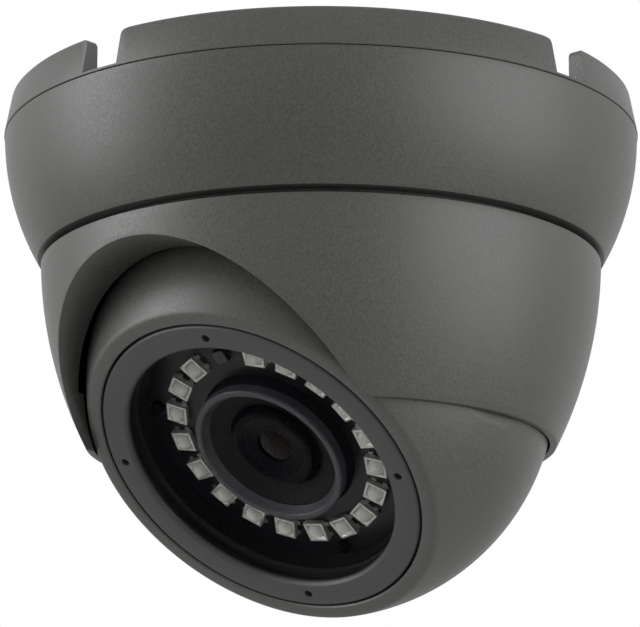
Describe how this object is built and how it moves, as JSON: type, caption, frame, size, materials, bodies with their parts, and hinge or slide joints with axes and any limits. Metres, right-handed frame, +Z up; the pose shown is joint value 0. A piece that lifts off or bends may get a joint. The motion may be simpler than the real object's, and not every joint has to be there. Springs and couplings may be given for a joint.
{
  "type": "dome camera",
  "caption": "Ceiling dome camera: notched base, curved cover, hooded swivel housing and a tilting eyeball with a lit lens window.",
  "frame": {"origin": "centre of the ceiling face of the base", "axes": "+Z up into the ceiling, the eyeball looks towards -Y, +X to the side"},
  "size_m": [0.094, 0.094, 0.0759],
  "materials": {
    "powder_coat": "dark warm grey powder coat, fine satin grain",
    "ring_coat": "dark grey coat, finer and flatter than the body",
    "seal_rubber": "moulded black rubber",
    "hood_rubber": "soft moulded black rubber",
    "screw_steel": "stainless steel, turned",
    "plated_steel": "zinc plated sheet steel",
    "bearing_plastic": "natural acetal",
    "window_glass": "dark tinted flat glass",
    "black_plastic": "moulded black plastic",
    "led_board": "black solder mask",
    "led_package": "white package with clear dome",
    "sensor_dark": "dark cover",
    "brass_ring": "turned brass",
    "green_board": "green solder mask",
    "white_plastic": "white moulded plastic",
    "ribbon": "flat flexible cable",
    "black_metal": "black anodised, turned",
    "lens_glass": "coated lens glass",
    "filter_glass": "coated filter glass",
    "clear_glass": "clear glass"
  },
  "bodies": {
    "mount": {"base_plate": "powder_coat", "base_seal": "seal_rubber", "outer_cover": "powder_coat", "cover_screws": "screw_steel", "slip_ring": "bearing_plastic", "retaining_ring": "plated_steel", "retaining_screws": "screw_steel", "cable_grommet": "seal_rubber"},
    "swivel": {"swivel_housing": "powder_coat", "tilt_bracket_left": "plated_steel", "tilt_bracket_right": "plated_steel", "bracket_screws": "screw_steel", "friction_washers": "bearing_plastic"},
    "eyeball": {"ball_shell": "powder_coat", "ball_rear": "powder_coat", "ball_seal": "seal_rubber", "ball_screws": "screw_steel", "rear_grommet": "seal_rubber", "pivot_screws": "screw_steel"},
    "lens_module": {"front_ring": "ring_coat", "window": "window_glass", "window_seal": "seal_rubber", "module_carrier": "black_plastic", "roll_clip": "plated_steel", "led_board": "led_board", "ir_leds": "led_package", "light_sensor": "sensor_dark", "led_screws": "screw_steel", "lens_hood": "hood_rubber", "lens_holder": "black_plastic", "lens_lock_ring": "brass_ring", "ir_cut_actuator": "black_plastic", "sensor_board": "green_board", "image_sensor": "sensor_dark", "standoffs": "brass_ring", "board_screws": "screw_steel", "connector": "white_plastic", "board_ribbon": "ribbon"},
    "lens": {"lens_barrel": "black_metal", "lens_glass": "lens_glass"},
    "ir_cut": {"filter_frame": "black_plastic", "ir_cut_filter": "filter_glass", "clear_filter": "clear_glass"}
  },
  "joints": [
    {"name": "pan", "type": "hinge", "parent": "mount", "child": "swivel", "pos_m": [0, 0, -0.0223], "axis": [0, 0, 1], "range_deg": [-174, 174]},
    {"name": "tilt", "type": "hinge", "parent": "swivel", "child": "eyeball", "pos_m": [0, 0, -0.0423], "axis": [1, 0, 0], "range_deg": [-28, 42]},
    {"name": "roll", "type": "hinge", "parent": "eyeball", "child": "lens_module", "pos_m": [0, -0.01004, -0.05345], "axis": [0, -0.6691, -0.7431], "range_deg": [-170, 170]},
    {"name": "focus", "type": "hinge", "parent": "lens_module", "child": "lens", "pos_m": [0, -0.00535, -0.04825], "axis": [0, -0.6691, -0.7431], "range_deg": [-120, 120]},
    {"name": "filter_slide", "type": "slide", "parent": "lens_module", "child": "ir_cut", "axis": [1, 0, 0], "range_m": [0, 0.006]}
  ]
}
